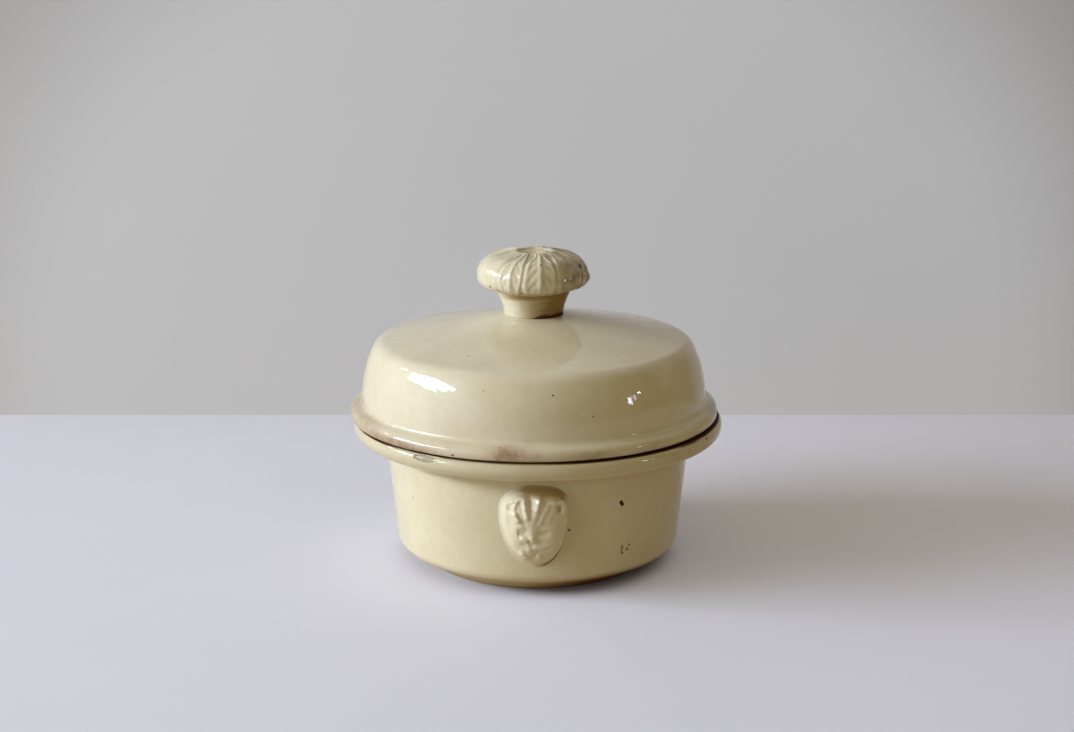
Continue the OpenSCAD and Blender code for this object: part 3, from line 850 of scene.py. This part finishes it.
paint(cap, "pool_and_shade", groove_glaze_and_shade)
paint(cap, "stain_and_shade", hand_dirt_and_shade)
paint(cap, "stain_and_shade", lambda p: 0.9 * ridge((p - LUMP).length, 3))
for degrees, height, radius, depth in KNOB_HOLES:
    aim = at(degrees, 23, height)
    nearest = min(cap.verts, key=lambda v: abs(v.co.z - height) + (v.co - aim).length)
    pinhole(cap, nearest.co.copy(), radius, depth, soft=1.4, dark=0.95, painted=(0.6, 1.2))
bmesh.ops.translate(cap, vec=(lid_x + CAP_SHIFT, 0, pot_h + lid_top + STEM_H), verts=cap.verts)
finish_piece(cap, "leaf_cap", "lid", ["knob_cap"], knob_glaze)

# %% [markdown]
# ## The lion masks
# A mask is a sprig: clay pressed in a carved mould, lifted out and stuck on the wall
# with slip. We do the same. A flat round button is spun first, its points are spread out
# to the mask's outline, the face is pressed into it, and it is wrapped round the wall.

# %% Mask sizes
MASK_W = 27.8
MASK_Z = 33.4
MASK_TOP = 17.2
MASK_CHIN = -17.4
MASK_WIDE = 6.3
MASK_SHIFT = -0.1
CHIN_LEAN = 1.35
# How square the outline is: 2 is an ellipse, and more is squarer
LEFT_BROW = 2.1
RIGHT_BROW = 2.9
JAW = 2.02
# How deep the sprig is bedded in the wall
LUTE = 0.4


def mask_outline(a):
    """Point of the mask's outline at an angle about its widest line: squarer at the right."""
    c, s = math.cos(a), math.sin(a)
    power = JAW if s < 0 else RIGHT_BROW if c > 0 else LEFT_BROW
    half = MASK_WIDE - MASK_CHIN if s < 0 else MASK_TOP - MASK_WIDE
    up = math.copysign(half * abs(s) ** (2 / power), s)
    across = math.copysign(MASK_W / 2 * abs(c) ** (2 / power), c) + MASK_SHIFT
    return across + CHIN_LEAN * max(0, -up / half) ** 3, up + MASK_WIDE


print(f"mask {MASK_W} by {MASK_TOP - MASK_CHIN:.0f} mm")

# %% [markdown]
# The face is a list of strokes, as a carver would cut them: each is a line of points
# (across, up) in millimetres from the mask's middle, a half width and a height. Ridges
# have a height above 0 and cuts one below. The mould was worn and the glaze is thick, so
# the strokes are broad and soft, and the two sides of the face differ.

# %% Strokes of the lion's face
BOTH_SIDES = [
    # cheek, whisker pad
    ([(6.8, 0.0), (7.4, -3.0), (6.0, -6.4)], 2.8, 0.4),
    ([(1.6, -8.2), (3.2, -8.6)], 2.0, 0.4),
]
ONE_SIDE = [
    # left lock of the mane: an arch from its outer limb over to its inner one, half full between
    ([(-8.4, 10.0), (-7.2, 7.2)], 1.2, 0.8),
    ([(-7.2, 7.2), (-5.8, 4.6)], 1.25, 1.3),
    ([(-5.7, 4.4), (-4.6, 2.2)], 2.0, 0.5),
    ([(-7.6, 10.2), (-6.8, 12.9), (-5.0, 14.2), (-4.0, 13.2)], 1.2, 0.9),
    ([(-4.2, 13.4), (-3.5, 10.4)], 1.2, 0.9),
    ([(-3.5, 10.4), (-2.5, 6.2)], 1.3, 1.2),
    ([(-2.5, 6.2), (-1.6, 3.0)], 1.8, 0.55),
    ([(-5.9, 10.4), (-4.3, 5.2)], 1.7, 0.5),
    # valley between the left lock and the middle tuft, and the tuft
    ([(-1.9, 14.6), (-1.3, 11.2)], 1.0, -0.5),
    ([(1.7, 13.6), (1.5, 12.6)], 1.25, 1.5),
    ([(1.4, 12.4), (1.0, 9.6)], 1.3, 1.1),
    ([(1.0, 9.6), (0.3, 6.0)], 1.6, 0.75),
    # right lock, worn low
    ([(2.2, 3.8), (3.4, 7.0), (4.6, 10.6)], 1.2, 0.45),
    ([(4.6, 10.6), (5.6, 12.2), (7.0, 12.6)], 1.0, 0.4),
    ([(7.4, 10.6), (6.6, 7.6), (5.2, 4.6)], 1.2, 0.2),
    # ridge along the left jaw, the valley inside it, and the raised corner above the ear
    ([(-12.0, 6.0), (-11.4, 0.0), (-9.8, -6.0), (-7.2, -11.5)], 1.6, 0.35),
    ([(-8.8, 3.0), (-7.8, -4.0), (-5.6, -9.6)], 1.6, -0.3),
    ([(-12.8, 11.4), (-9.8, 14.4), (-5.4, 16.2)], 0.75, 1.0),
    ([(-9.4, 11.9), (-8.6, 12.3)], 1.2, 1.2),
    # left ear and its pit
    ([(-9.6, 12.8), (-11.4, 11.8), (-12.0, 9.4), (-11.0, 7.4)], 1.1, 0.4),
    ([(-9.7, 9.8), (-9.6, 8.6)], 1.25, -0.95),
    # right ear and its pit
    ([(6.8, 11.8), (11.4, 12.2)], 0.9, 0.55),
    ([(11.2, 12.0), (11.2, 7.6)], 0.9, 0.35),
    ([(9.1, 10.0), (9.3, 8.8)], 0.95, -1.2),
    # bridge, tip and wing of the nose
    ([(-0.5, 5.6), (-0.4, 3.0), (-0.3, -2.6)], 2.2, 0.6),
    ([(-0.3, -3.2), (0.3, -4.2)], 1.3, 1.1),
    ([(-3.6, -3.6), (-2.4, -4.2)], 1.25, 1.1),
    # eye sockets, the left one worn away but for a nick at its corner
    ([(2.6, -1.4), (5.0, -1.0)], 1.3, -0.6),
    ([(-4.8, -0.6), (-3.6, -1.4)], 1.3, -0.3),
    ([(-5.2, -0.2), (-5.2, -1.9)], 0.45, -0.4),
    # nostrils
    ([(-4.6, -6.4), (-2.6, -6.6)], 0.45, -0.25),
    ([(-0.8, -6.3), (0.2, -6.2)], 0.6, -0.4),
    # crease of the right cheek, mouth and its corner
    ([(3.0, -4.6), (6.4, -5.0)], 0.9, -0.2),
    ([(2.4, -9.6), (4.4, -9.4), (6.4, -8.2)], 1.0, -0.4),
    ([(1.3, -11.6), (1.6, -11.8)], 0.7, -0.5),
    # upper lip, and the lobes of the beard
    ([(-1.3, -8.9), (-0.8, -9.4)], 1.5, 0.75),
    ([(-4.0, -12.2), (-3.0, -13.2)], 2.0, 1.0),
    ([(2.8, -13.0), (3.2, -13.6)], 1.5, 0.6),
]


def face_axis(v):
    """Where the middle of the face is: it leans to the left at the chin."""
    return 0.2 + 0.05 * (v - 5)


def stroke_distance(u, v, points):
    """Distance from a place on the face to the nearest part of a stroke."""
    best = 1e9
    for (au, av), (bu, bv) in zip(points, points[1:]):
        du, dv = bu - au, bv - av
        t = min(max(((u - au) * du + (v - av) * dv) / (du * du + dv * dv), 0), 1)
        best = min(best, math.hypot(u - au - t * du, v - av - t * dv))
    return best


def face_height(u, v):
    """Relief of the face: the highest ridge and the deepest cut at a place, added."""
    up, down = 0.0, 0.0
    u -= face_axis(v)
    for strokes, across in ((BOTH_SIDES, abs(u)), (ONE_SIDE, u)):
        for points, width, height in strokes:
            rise = height * ridge(stroke_distance(across, v, points), width)
            if height > 0:
                up = max(up, rise) + 0.3 * min(up, rise)
            else:
                down = min(down, rise)
    return up + down


# %% [markdown]
# The button is spun from a line that runs from the middle of its front, round the edge
# and back to the middle behind. Its heights are only markers at this stage: they say
# which points are front and which are back.

# %% Press and wrap a mask
MASK_STEPS = 256
# Where the slip round the mask ends, as a share of the mask's own outline
FILLET = 1.07


def mask_button():
    """A flat button: radius 0 to FILLET in front, and back to 0 behind."""
    front = [i / 60 for i in range(50)] + [0.83 + 0.17 * i / 22 for i in range(23)]
    front += [1.007, 1.015, 1.024, 1.034, 1.045, 1.057, FILLET]
    back = [FILLET, 0.9, 0.6, 0.3, 0]
    return turned([(r, 1) for r in front] + [(r, -1) for r in back], MASK_STEPS)


def press(point):
    """Where a point of the button goes on the wall: (across, up, height off the wall)."""
    ring = min(math.hypot(point.x, point.y), FILLET)
    angle = math.atan2(point.y, point.x)
    across, up = mask_outline(angle)
    across, up = across * ring, (up - MASK_WIDE) * ring + MASK_WIDE
    if point.z < 0:
        return across, up, -LUTE - 0.3
    inner = min(ring, 1)
    # the edge stands up sharply at the lower right and is a broad round elsewhere
    fall = 0.17 - 0.09 * ease(-0.2, 0.6, math.cos(angle + math.radians(30)))
    side = math.sqrt(max(0, 1 - ease(1 - fall, 1, inner) ** 1.6))
    soft = 0.7 * ease(0.35, -0.3, math.cos(angle))
    side += (1 - ease(1 - 1.4 * fall, 1.02, inner) - side) * soft
    base = 1.9 + 0.07 * (across + 6) * ease(-18, -4, up) + 1.9 * ease(-13, -6.2, across) * ease(-17, -9, up)
    dome = (2.0 + 1.1 * ease(-14, 2, up)) * (1 - inner ** 2.2)
    shelf = 1 - 0.72 * ease(13.8, 17.0, up)
    height = (base * side + dome) * shelf + face_height(across, up) * (1 - ease(0.92, 1.0, inner))
    # a hollow of slip round the mask runs out on to the wall
    slip = 0.25 * (1 - ease(1, FILLET, ring)) * ease(0.9, 1, inner)
    return across, up, max(height, 0) + slip - LUTE * ease(1.05, FILLET, ring)


def on_wall(across, up, height):
    """Wraps a place on the mask round the wall, facing the front."""
    z = MASK_Z + up
    radius = wall_at(z)
    return at(math.degrees(across / radius), radius + height, z)


def lion_mask(name, node, turn):
    """One mask on its wall, turned about the pot's axis by that many degrees."""
    bm = mask_button()
    amber_and_shade = bm.verts.layers.float.new("pool_and_shade")
    edge_shadow = bm.verts.layers.float.new("pit_and_shadow")
    bm.verts.ensure_lookup_table()
    for v in bm.verts:
        ring = math.hypot(v.co.x, v.co.y)
        angle = math.degrees(math.atan2(v.co.y, v.co.x))
        across, up, height = press(v.co)
        front = v.co.z > 0
        v.co = on_wall(across, up, height)
        if front:
            wavy = up + 0.14 * across + 0.8 * noise.noise(Vector((across / 2.5, 0, up)))
            ledge = ease(13.0, 15.8, wavy) * ease(-9, -2, across)
            cut = face_height(across, up) if ring < 0.95 else 0
            # amber glaze on the shelf at the top, and in the cuts of the face thicker glaze with painted
            # shade
            v[amber_and_shade] = min(0.74 * ledge + 0.3 * ease(0.15, 0.9, -cut), 0.9)
            # a painted shadow line along the lower right edge, where the mask stands up from the wall
            if angle < 0:
                shown = ease(-12, -24, angle) * (1 - ease(-70, -98, angle))
                v[edge_shadow] = 0.8 * shown * ridge(ring - 1.030, 0.012)
    bmesh.ops.recalc_face_normals(bm, faces=bm.faces)
    about_axis = Matrix.Rotation(math.radians(turn), 3, "Z")
    bmesh.ops.rotate(bm, cent=(0, 0, 0), matrix=about_axis, verts=bm.verts)
    return finish_piece(bm, name, "pot", [node], mask_glaze)


lion_mask("lion_mask_front", "front_mask", MASK_TURNS[0])
lion_mask("lion_mask_back", "back_mask", MASK_TURNS[1])

# %% [markdown]
# ## Floor, backdrop and light
# The pot stands on a pale table, 23 cm in front of a pale wall. One large window of four
# panes at the left, cool daylight, does nearly all the lighting, with a small fanlight
# behind it. A small window glints at the right, and a warm room fills the shade. The
# camera and the glaze see the table and the wall pale and a little brighter than they are
# lit, through Light Path. The light that they throw back on the pot is weaker and warmer,
# as it is in a room with brown wood.


# %% Floor and backdrop
def plain(name, colour, thrown, glow, reach, high):
    """Matt paint: one colour where it is looked at, another for the light it throws.
    Its glow fades out under the pot and, over reach, far from it, and high adds to it high
    on the wall. It has one side only, so that the wall doesn't hide the pot from behind."""
    material = bpy.data.materials.new(name)
    material.use_nodes = True
    tree = material.node_tree
    tree.nodes.clear()
    coords = add(tree, "ShaderNodeTexCoord").outputs["Object"]
    cloud = noise_field(tree, coords, 140, 3, 1)
    tone = add(tree, "ShaderNodeMapRange", {0: cloud, 1: 0.3, 2: 0.7, 3: 0.0, 4: 0.05})
    mixed = add(tree, "ShaderNodeMix",
                {0: tone.outputs[0], 6: hex_colour(colour), 7: hex_colour("#9A9AA0")},
                data_type="RGBA")
    rays = add(tree, "ShaderNodeLightPath").outputs
    seen = add(tree, "ShaderNodeMath", {0: rays["Is Camera Ray"], 1: rays["Is Glossy Ray"]},
               operation="MAXIMUM")
    seen = add(tree, "ShaderNodeMath", {0: seen.outputs[0], 1: rays["Is Transmission Ray"]},
               operation="MAXIMUM")
    shown = add(tree, "ShaderNodeMix", {0: seen.outputs[0], 6: hex_colour(thrown), 7: mixed.outputs[2]},
                data_type="RGBA")
    paint_film = add(tree, "ShaderNodeBsdfPrincipled", {"Base Color": shown.outputs[2], "Roughness": 0.8})
    away = add(tree, "ShaderNodeVectorMath", {0: coords}, operation="LENGTH").outputs["Value"]
    near = add(tree, "ShaderNodeMapRange", {0: away, 1: 0.051, 2: 0.065, 3: 0.0, 4: glow},
               interpolation_type="SMOOTHSTEP")
    far = add(tree, "ShaderNodeMapRange", {0: away, 1: reach[0], 2: reach[1], 3: 1.0, 4: reach[2]},
              interpolation_type="SMOOTHSTEP")
    lit = add(tree, "ShaderNodeMath", {0: near.outputs[0], 1: far.outputs[0]}, operation="MULTIPLY")
    height = add(tree, "ShaderNodeSeparateXYZ", {0: coords}).outputs["Z"]
    upper = add(tree, "ShaderNodeMapRange", {0: height, 1: 0.24, 2: 0.36, 3: 0.0, 4: high},
                interpolation_type="SMOOTHSTEP")
    lit = add(tree, "ShaderNodeMath", {0: lit.outputs[0], 1: upper.outputs[0]}, operation="ADD")
    share = add(tree, "ShaderNodeMath", {0: seen.outputs[0], 1: lit.outputs[0]}, operation="MULTIPLY")
    lift = add(tree, "ShaderNodeEmission", {"Color": mixed.outputs[2], "Strength": share.outputs[0]})
    both = add(tree, "ShaderNodeAddShader", {0: paint_film.outputs[0], 1: lift.outputs[0]})
    behind = add(tree, "ShaderNodeNewGeometry").outputs["Backfacing"]
    nothing = add(tree, "ShaderNodeBsdfTransparent")
    one_sided = add(tree, "ShaderNodeMixShader", {0: behind, 1: both.outputs[0], 2: nothing.outputs[0]})
    add(tree, "ShaderNodeOutputMaterial", {"Surface": one_sided.outputs[0]})
    return material


WALL_Y = 0.227


def panel(name, size, matrix, material):
    """A flat square of that size, placed by a matrix, that isn't part of the object."""
    bm = bmesh.new()
    bmesh.ops.create_grid(bm, x_segments=1, y_segments=1, size=size, matrix=matrix)
    mesh = bpy.data.meshes.new(name)
    bm.to_mesh(mesh)
    bm.free()
    mesh.materials.append(material)
    board = bpy.data.objects.new(name, mesh)
    bpy.context.scene.collection.objects.link(board)


table_paint = plain("pale_table_paint", "#D8DAE7", "#BFA46A", 0.18, (0.2, 0.4, 0.6), 0)
wall_paint = plain("pale_wall_paint", "#BDC0C6", "#9C8A6C", 0.35, (0.34, 0.47, 0.0), 0.5)
upright = Matrix.Rotation(math.radians(90), 4, "X")
panel("table", 5, Matrix.Identity(4), table_paint)
panel("wall", 3, Matrix.Translation((0, WALL_Y, 3)) @ upright, wall_paint)
print(f"the wall stands {WALL_Y:.3f} m behind the pot's axis")


# %% Windows and room light
def window(name, degrees, elevation, distance, width, height, power, colour):
    """A soft rectangular light, placed round the pot by azimuth and elevation."""
    light = bpy.data.objects.new(name, bpy.data.lights.new(name, "AREA"))
    light.data.shape = "RECTANGLE"
    light.data.size, light.data.size_y = width, height
    light.data.energy = power
    light.data.color = colour
    a, e = math.radians(degrees), math.radians(elevation)
    away = Vector((math.sin(a) * math.cos(e), -math.cos(a) * math.cos(e), math.sin(e)))
    light.location = away * distance + Vector((0, 0, 0.08))
    light.rotation_euler = away.to_track_quat("Z", "Y").to_euler()
    bpy.context.scene.collection.objects.link(light)
    return light


DAYLIGHT = (0.82, 0.90, 1.04)
# Azimuth, elevation, distance, width, height and power of each pane
PANES = {
    "left": [(-93, 20.0, 2.6, 0.56, 0.40, 31), (-78, 21.4, 2.6, 0.68, 0.45, 28),
             (-66.5, 22.2, 2.6, 0.42, 0.28, 10), (-58.5, 22.8, 2.6, 0.30, 0.14, 3)],
    "fanlight": [(-105, 24.3, 0.85, 0.10, 0.045, 0.3)],
    "right": [(65.3, 10.0, 1.4, 0.07, 0.13, 0.5), (69.0, 11.4, 1.4, 0.05, 0.11, 0.10),
              (73.5, 14.0, 1.4, 0.06, 0.045, 0.22)],
}
for side, panes in PANES.items():
    for number, pane in enumerate(panes):
        window(f"window_{side}_{number}", *pane, DAYLIGHT)
    print(f"{side}: {len(panes)} panes")

# %% [markdown]
# The room is darker and warmer near the floor than at the ceiling, and the white wall
# beside the window throws a soft cool light from low at the left. Where the camera looks
# past the table, it sees a plain pale distance instead of the room.

# %% Room light

world = bpy.data.worlds.new("warm_room")
bpy.context.scene.world = world
world.use_nodes = True
room = world.node_tree
room.nodes.clear()
direction = add(room, "ShaderNodeTexCoord").outputs["Generated"]
height = add(room, "ShaderNodeSeparateXYZ", {0: direction}).outputs["Z"]
ceiling = add(room, "ShaderNodeMapRange", {0: height, 1: 0.0, 2: 0.9, 3: 0.034, 4: 0.46})
air = add(room, "ShaderNodeBackground", {"Color": (1.0, 0.80, 0.42, 1), "Strength": ceiling.outputs[0]})
towards = add(room, "ShaderNodeVectorMath", {0: direction, 1: (-0.92, -0.39, 0.02)}, operation="DOT_PRODUCT")
beside = add(room, "ShaderNodeMapRange", {0: towards.outputs["Value"], 1: 0.70, 2: 1.0, 3: 0.0, 4: 1.85},
             interpolation_type="SMOOTHSTEP")
pale = add(room, "ShaderNodeBackground", {"Color": (0.80, 0.90, 1.12, 1), "Strength": beside.outputs[0]})
both = add(room, "ShaderNodeAddShader", {0: air.outputs[0], 1: pale.outputs[0]})
looked_at = add(room, "ShaderNodeLightPath").outputs["Is Camera Ray"]
distance = add(room, "ShaderNodeBackground", {"Color": hex_colour("#BDC0C6"), "Strength": 1.0})
sky = add(room, "ShaderNodeMixShader", {0: looked_at, 1: both.outputs[0], 2: distance.outputs[0]})
add(room, "ShaderNodeOutputWorld", {"Surface": sky.outputs[0]})
bpy.context.scene.view_settings.view_transform = "Standard"
print("the room is lit")
